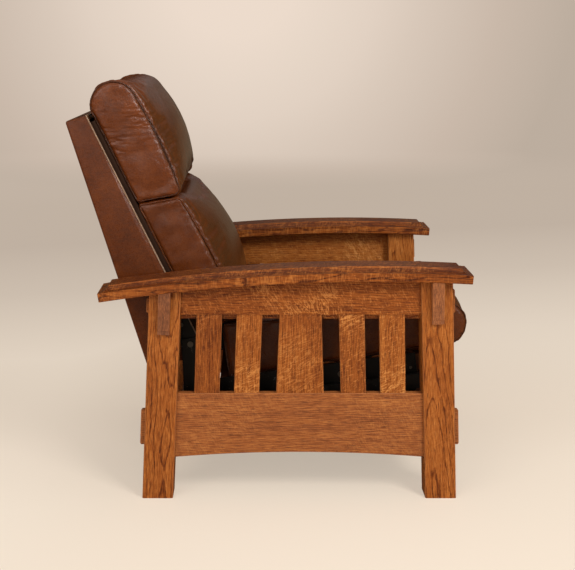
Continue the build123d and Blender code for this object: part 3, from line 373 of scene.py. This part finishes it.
# Painted shade: the seat leather is a little darker, for the shadow the arms cast on it.
seat_leather_painted_shade = leather("seat_leather_painted_shade", tan=(0.88, 0.92, 1.0))
# Painted shade: the lower back cushion's leather is darker, for the arm's shade over it.
lower_leather_painted_shade = leather("lower_back_leather_painted_shade", tan=(0.84, 0.80, 0.62))
# Painted shade: the welts are half as bright as the cover, for the dark line of shade along their seams.
welt_leather_painted_shade = leather("welt_leather_painted_shade", sewn=False, tan=(0.5, 0.5, 0.5))
# Painted highlight: the piping is a pale beige, for the bright line of light along the shell's rounded
# front edge.
piping_leather_painted_highlight = leather("piping_leather_painted_highlight", sewn=False, tan=(2.4, 6.5, 21.0), rough=0.22)


def laid_in(name, mesh, *coats):
    """A mesh as a new piece of the scene."""
    piece = bpy.data.objects.new(name, mesh)
    bpy.context.scene.collection.objects.link(piece)
    mesh.materials.clear()
    for coat in coats:
        mesh.materials.append(coat)
    return piece


def settle(piece):
    """The piece's mesh with its modifiers worked in."""
    ready = piece.evaluated_get(bpy.context.evaluated_depsgraph_get())
    mesh = bpy.data.meshes.new_from_object(ready)
    piece.modifiers.clear()
    piece.data = mesh
    return mesh


def side_seams(cloth):
    """The closed lines where a cushion's two side panels meet the rest of its cover."""
    sewn = []
    for edge in cloth.edges:
        if len(edge.link_faces) == 2:
            flatness = sorted(abs(face.normal.x) for face in edge.link_faces)
            if flatness[1] > 0.93 and flatness[0] < 0.85:
                sewn.append(edge)
    lines = []
    while sewn:
        first = sewn.pop()
        line = [first.verts[0], first.verts[1]]
        growing = True
        while growing:
            growing = False
            for edge in line[-1].link_edges:
                if edge in sewn:
                    sewn.remove(edge)
                    line.append(edge.other_vert(line[-1]))
                    growing = True
                    break
        lines.append([v.co.copy() for v in line[:-1]])
    return [line for line in lines if len(line) > 20]


def even_steps(line, step, rounds=0):
    """A closed line laid out again in even steps, with its corners eased."""
    places, left = [], 0.0
    for start, end in zip(line, line[1:] + line[:1]):
        run = (end - start).length
        while left < run:
            places.append(start.lerp(end, left / run))
            left += step
        left -= run
    for _ in range(rounds):
        places = [(before + at * 2 + after) / 4
                  for before, at, after in zip(places[-1:] + places[:-1], places, places[1:] + places[:1])]
    return places


def tube(name, line, radius, coat, body, closed=True):
    """A round cord along a line of places."""
    wire = bpy.data.curves.new(name, "CURVE")
    wire.dimensions, wire.bevel_depth, wire.bevel_resolution, wire.use_fill_caps = "3D", radius, 2, True
    run = wire.splines.new("POLY")
    run.points.add(len(line) - 1)
    for point, place in zip(run.points, line):
        point.co = (*place, 1)
    run.use_cyclic_u = closed
    loose = bpy.data.objects.new(name + "_line", wire)
    bpy.context.scene.collection.objects.link(loose)
    mesh = bpy.data.meshes.new_from_object(loose.evaluated_get(bpy.context.evaluated_depsgraph_get()))
    bpy.data.objects.remove(loose)
    mesh.shade_smooth()
    piece = laid_in(name, mesh, coat)
    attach(piece, body)
    return piece


back_foot = Vector((0, 0.28076, 0.5901))
back_lean = math.radians(25.5)
up_back = Vector((0, math.sin(back_lean), math.cos(back_lean)))
off_back = Vector((0, -math.cos(back_lean), math.sin(back_lean)))
seat_slope = math.radians(7.7)
up_seat = Vector((0, math.sin(seat_slope), math.cos(seat_slope)))
seat_foot = Vector((0, -0.072837, 0.326))

seam_step = 0.004
seam_hold, seam_reach = 0.007, 0.030
last_frame = 20

# Each cover: its voxel size, how far it may swell and how much further sideways, how far it starts
# inside its solid, how it rests, and what carries it.
covers = {
    "upper_back_cushion": dict(mesh_step=0.0060, swell=0.008, belly=0.010, slack=0.004, body="back",
                               foot=back_foot, rest=off_back, gap=0.0165, side=0.2830, fill=0.75),
    "lower_back_cushion": dict(mesh_step=0.0060, swell=0.007, belly=0.008, slack=0.004, body="back",
                               foot=back_foot, rest=off_back, gap=0.0165, side=0.2815, fill=0.75),
    "seat_cushion": dict(mesh_step=0.0070, swell=0.010, belly=0.0, slack=0.005, body="seat",
                         foot=seat_foot, rest=up_seat, gap=0.004, side=0.2820, fill=0.7),
    "footrest_pad": dict(mesh_step=0.0050, swell=0.006, belly=0.0, slack=0.003, body="footrest",
                         foot=None, rest=Vector((0, -1, 0)), gap=0.004, side=0.2750, fill=0.8),
}
cushions = {}
for name, cover in covers.items():
    cloth = bmesh.new()
    cloth.from_mesh(solids[name].data)
    bmesh.ops.remove_doubles(cloth, verts=cloth.verts, dist=0.00002)
    bmesh.ops.recalc_face_normals(cloth, faces=cloth.faces)
    cover["seams"] = [even_steps(line, seam_step, 3) for line in side_seams(cloth)]
    mesh = bpy.data.meshes.new(name)
    cloth.to_mesh(mesh)
    cloth.free()
    piece = laid_in("leather_" + name, mesh)
    even = piece.modifiers.new("even", "REMESH")
    even.mode, even.voxel_size = "VOXEL", cover["mesh_step"]
    mesh = settle(piece)
    seam_points = [place for line in cover["seams"] for place in line]
    finder = KDTree(len(seam_points))
    for number, place in enumerate(seam_points):
        finder.insert(place, number)
    finder.balance()
    cover["finder"] = finder
    foot = cover["foot"] if cover["foot"] is not None else Vector((0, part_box(name)[1].y, 0))
    sewn = piece.vertex_groups.new(name="sewn")
    held = []
    for v, outward in zip(mesh.vertices, [v.normal.copy() for v in mesh.vertices]):
        near = finder.find(v.co)[2]
        resting = (v.co - foot).dot(cover["rest"]) < cover["gap"]
        if near < seam_hold or resting:
            held.append(v.index)
        if not resting:
            v.co -= outward * cover["slack"] * min(1.0, near / seam_reach)
    sewn.add(held, 1.0, "REPLACE")
    cushions[name] = piece
    cover["start"] = [v.co.copy() for v in mesh.vertices]

for piece in cushions.values():
    blown = piece.modifiers.new("blown", "CLOTH")
    blown.settings.quality = 5
    blown.settings.mass = 0.4
    blown.settings.use_pressure = True
    blown.settings.uniform_pressure_force = 4.0
    blown.settings.vertex_group_mass = "sewn"
    blown.settings.tension_stiffness = 18
    blown.settings.compression_stiffness = 10
    blown.settings.shear_stiffness = 6
    blown.settings.bending_stiffness = 0.4
    blown.settings.shrink_min = -0.03
    blown.settings.effector_weights.gravity = 0
    blown.collision_settings.use_collision = False
    blown.point_cache.frame_start, blown.point_cache.frame_end = 1, last_frame
for step in range(1, last_frame + 1):
    bpy.context.scene.frame_set(step)
for piece in cushions.values():
    settle(piece)
bpy.context.scene.frame_set(1)


def wrinkles(place, near):
    """How deep the level creases go that run back from the front seam over a cushion's side panel."""
    level = place.z + noise.noise(Vector((place.y * 13, place.z * 9, place.x * 5))) * 0.008
    fold = abs(noise.noise(Vector((place.y * 10, level * 105, 3.0 + place.x))))
    worked = math.exp(-(((place - back_foot).dot(up_back) - 0.385) / 0.045) ** 2)
    return (1 - min(1.0, fold * 4.0)) ** 2 * (0.05 + 0.95 * worked * max(0.3, 1 - near / 0.11))


groove_depth, groove_width = 0.0048, 0.0055
ridge_place, ridge_width = 0.013, 0.010
draw_passes = 14
fold_depths = {"upper_back_cushion": 0.0042, "lower_back_cushion": 0.0014}
welt_radius = 0.0019
for name, piece in cushions.items():
    cover = covers[name]
    for v, start in zip(piece.data.vertices, cover["start"]):
        move = v.co - start
        limit = cover["swell"] + cover["belly"] * (abs(move.x) / max(move.length, 0.0001)) ** 2
        if move.length > limit:
            v.co = start + move * (limit / move.length)
    drawn = bmesh.new()
    drawn.from_mesh(piece.data)
    drawn.normal_update()
    panel = [v for v in drawn.verts if abs(v.normal.x) > 0.7 and cover["finder"].find(v.co)[2] > 0.012]
    for _ in range(draw_passes):
        bmesh.ops.smooth_vert(drawn, verts=panel, factor=0.5, use_axis_x=True)
    drawn.to_mesh(piece.data)
    drawn.free()
    finer = piece.modifiers.new("finer", "SUBSURF")
    finer.levels = finer.render_levels = 1
    mesh = settle(piece)
    nears, alongs = [], []
    for v, outward in zip(mesh.vertices, [v.normal.copy() for v in mesh.vertices]):
        _, number, near = cover["finder"].find(v.co)
        sidewall = abs(outward.x) > 0.6
        groove = math.exp(-((near / groove_width) ** 2))
        gather = noise.noise(Vector((number * 0.26, near * 30, 5.0)))
        gather += 0.5 * noise.noise(Vector((number * 0.7, 0, 1)))
        beside = math.exp(-(((near - ridge_place) / ridge_width) ** 2))
        ridge = 0.0008 + 0.0008 * gather if sidewall else 0.0018 + 0.0017 * gather
        height = -groove_depth * groove + beside * ridge
        if name in fold_depths and sidewall:
            height -= fold_depths[name] * wrinkles(v.co, near) * min(1, near / 0.01)
        dent = noise.noise(v.co * 8.0 + Vector((0, 0, 7))) * 0.0016 + noise.noise(v.co * 34.0) * 0.0005
        v.co += outward * (height + dent * (0.35 if sidewall else 1.0) * min(1.0, near / 0.05))
        v.co.x = max(-cover["side"], min(cover["side"], v.co.x))
        nears.append(max(0.0, 1 - near / seam_reach))
        alongs.append(number * seam_step)
    mesh.attributes.new("near_seam", "FLOAT", "POINT").data.foreach_set("value", nears)
    mesh.attributes.new("along_seam", "FLOAT", "POINT").data.foreach_set("value", alongs)
    mesh.update()
    mesh.shade_smooth()
    mesh.materials.clear()
    coat = {"seat_cushion": seat_leather_painted_shade, "lower_back_cushion": lower_leather_painted_shade}.get(name, cover_leather)
    mesh.materials.append(coat)
    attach(piece, cover["body"])
    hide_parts(name)
    skin = BVHTree.FromObject(piece, bpy.context.evaluated_depsgraph_get())
    for number, line in enumerate(cover["seams"]):
        laid = [skin.find_nearest(place)[0] for place in line]
        laid = [skin.find_nearest(place) for place in even_steps(laid, seam_step, 4)]
        proud = 0.0012 if name == "lower_back_cushion" else 0.0002
        tube(f"welt_{name}_{number}", [hit[0] + hit[1] * proud for hit in laid], welt_radius + proud * 0.4,
             coat if name == "lower_back_cushion" else welt_leather_painted_shade, cover["body"])


# Back shell: a thin outer back in the same leather, stretched over a hardboard case with rounded
# corners, and piped along its front edge.

case = bmesh.new()
case.from_mesh(solids["back_shell"].data)
bmesh.ops.remove_doubles(case, verts=case.verts, dist=0.00002)
bmesh.ops.dissolve_limit(case, angle_limit=math.radians(1), verts=case.verts, edges=case.edges)
corners = [e for e in case.edges if len(e.link_faces) == 2 and e.calc_length() > 0.05
           and e.calc_face_angle(0) > math.radians(20)]
rim = [e for e in corners if min((v.co - back_foot).dot(off_back) for v in e.verts) > -0.013]
for edges, size in (([e for e in corners if e not in rim], 0.0060), (rim, 0.0040)):
    edges = [e for e in edges if e.is_valid]
    bmesh.ops.bevel(case, geom=edges, offset=size, offset_type="OFFSET", segments=5, profile=0.5,
                    affect="EDGES", material=-1, clamp_overlap=True)
bmesh.ops.triangulate(case, faces=case.faces)
case_mesh = bpy.data.meshes.new("back_shell_leather")
case.to_mesh(case_mesh)
case.free()
for face in case_mesh.polygons:
    face.use_smooth = True
shell_leather = leather("shell_leather", sewn=False, tan=(0.86, 0.80, 0.50), sheen=0.26)
shell = laid_in("leather_back_shell", case_mesh, shell_leather)
case_mesh.set_sharp_from_angle(angle=math.radians(35))
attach(shell, "back")
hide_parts("back_shell")
piping_half, piping_top, piping_radius = 0.2845, 0.4575, 0.0022
for number, x in enumerate((-piping_half, piping_half)):
    edge = [back_foot + up_back * (piping_top - 0.0045 * k) + Vector((x, 0, 0)) for k in range(156)]
    tube(f"shell_piping_{number}", edge, piping_radius, piping_leather_painted_highlight, "back", closed=False)
top_edge = [back_foot + up_back * piping_top + Vector((piping_half * (k / 40 - 1), 0, 0))
            for k in range(81)]
tube("shell_piping_top", top_edge, piping_radius, piping_leather_painted_highlight, "back", closed=False)


# Where the chair stands: a pale paper floor that runs back to a paper wall, with soft box lamps over
# it and the camera at the chair's right-hand side.


def paper(name, size, turn, centre, colour, glow_share, mirrored):
    """A sheet of the studio's pale paper, which gives the camera a share of its colour as it is.
    Mirrored is the share that shines in glossy pieces."""
    sheet = bmesh.new()
    bmesh.ops.create_grid(sheet, x_segments=2, y_segments=2, size=size,
                          matrix=Matrix.Rotation(turn, 4, "Y"))
    mesh = bpy.data.meshes.new(name)
    sheet.to_mesh(mesh)
    sheet.free()
    made, place = finish(name)
    tone = colour(place)
    shiny = place.node("ShaderNodeLightPath", out="Is Glossy Ray")
    matt = place.node("ShaderNodeBsdfDiffuse", None, {"Color": (shiny * 0.85).blend(tone, (0, 0, 0, 1))})
    glow = place.node("ShaderNodeEmission", None,
                      {"Color": (shiny * 0.7).blend(tone, (0.60, 0.50, 0.30, 1))})
    seen = place.node("ShaderNodeLightPath", out="Is Camera Ray")
    both = place.node("ShaderNodeMixShader", None, {0: seen * glow_share(place) + shiny * mirrored(place),
                                                    1: matt, 2: glow})
    place.tree.links.new(both.socket, place.tree.nodes.new("ShaderNodeOutputMaterial").inputs["Surface"])
    piece = laid_in(name, mesh, made)
    piece.location = centre


def pool(place, centre):
    """A pool of light on the backdrop behind the chair, fading out from a centre."""
    off = place.node("ShaderNodeVectorMath", {"operation": "DISTANCE"}, {0: place, 1: centre}, out="Value")
    return (off / 4.0).tint((
        (0.0, (0.850, 0.715, 0.608)), (0.17, (0.838, 0.705, 0.600)), (0.28, (0.795, 0.672, 0.570)),
        (0.39, (0.755, 0.635, 0.538)), (0.50, (0.690, 0.577, 0.485)), (0.60, (0.640, 0.532, 0.445)),
        (0.72, (0.585, 0.480, 0.397)), (0.92, (0.505, 0.420, 0.345))))


def floor_tones(place):
    """The floor's colours from before the chair to the foot of the backdrop, painted light that falls off
    with distance.
    """
    depth = (place.axis("X") + place.axis("Y") * 0.25 + 1.0) / 10.0
    near = depth.tint((
        (0.0, (0.94, 0.820, 0.685)), (0.07, (0.935, 0.815, 0.680)), (0.12, (0.885, 0.765, 0.635)),
        (0.20, (0.765, 0.655, 0.540)), (0.33, (0.605, 0.510, 0.420)), (0.46, (0.525, 0.436, 0.358)),
        (0.62, (0.530, 0.440, 0.360)), (0.8, (0.560, 0.466, 0.384))))
    return place.axis("X").between(4.2, 9.0).blend(near, pool(place, (9.0, 0.25, 1.9)))


paper("studio_floor", 40.0, 0.0, (0, 0, 0), floor_tones,
      # Painted light: the floor glows for the camera more beyond and behind the chair, which lightens the
      # chair's shadow there.
      lambda place: (place.axis("X").between(0.1, 1.5, 0.52, 1.0)
                     + place.axis("Y").between(0.35, 0.85, 0.0, 0.18)),
      lambda place: place.axis("X").between(3.0, 8.0, 0.0, 0.3))
paper("studio_wall", 30.0, math.radians(90), (9.0, 0, 0),
      lambda place: pool(place, (0.0, 0.25, 1.9)), lambda place: 1.0,
      lambda place: place.axis("Z").between(1.3, 2.2, 0.34, 0.0))

sky = bpy.data.worlds.new("studio")
bpy.context.scene.world = sky
sky.use_nodes = True
sky.node_tree.nodes.clear()
start = Shade(sky.node_tree)
shiny = start.node("ShaderNodeLightPath", out="Is Glossy Ray")
seen = start.node("ShaderNodeLightPath", out="Is Camera Ray")
backdrop = start.node("ShaderNodeBackground", None, {
    "Color": shiny.blend(seen.blend((0.82, 0.76, 0.70, 1), (0.55, 0.46, 0.38, 1)), (0.84, 0.70, 0.50, 1)),
    "Strength": shiny * -0.20 + 0.54 + seen * 0.46})
start.tree.links.new(backdrop.socket, start.tree.nodes.new("ShaderNodeOutputWorld").inputs["Surface"])


def lamp(name, place, aim, size, power, tint):
    """A soft square lamp pointed at a place on the chair."""
    light = bpy.data.lights.new(name, "AREA")
    light.shape, light.size, light.energy, light.color = "SQUARE", size, power, tint
    holder = bpy.data.objects.new(name, light)
    bpy.context.scene.collection.objects.link(holder)
    holder.location = place
    holder.rotation_euler = (Vector(aim) - Vector(place)).to_track_quat("-Z", "Y").to_euler()


lamp("key_box", (-2.7, -1.8, 2.8), (0, 0, 0.5), 1.2, 78, (1.0, 0.98, 0.95))
lamp("camera_side_box", (-3.2, 2.1, 2.2), (0, 0.1, 0.55), 2.2, 40, (1.0, 0.98, 0.95))
lamp("gloss_card", (-3.35, 0.75, 0.80), (0, 0.3, 0.85), 0.9, 3, (1.0, 0.90, 0.74))
lamp("overhead_box", (-0.2, 0.3, 3.8), (0, 0, 0.4), 3.0, 14, (1.0, 0.97, 0.93))
lamp("far_box", (2.6, -0.6, 2.6), (0, 0, 0.7), 2.2, 5, (1.0, 0.98, 0.96))

eye = bpy.data.cameras.new("camera")
eye.lens, eye.sensor_width, eye.shift_x = 68.87, 36.0, 0.06
camera = bpy.data.objects.new("camera", eye)
camera.location = (-3.128, 0.0503, 1.195)
camera.rotation_euler = (math.radians(77.4), 0, math.radians(-90))
bpy.context.scene.collection.objects.link(camera)
bpy.context.scene.camera = camera
bpy.context.scene.view_settings.view_transform = "Standard"
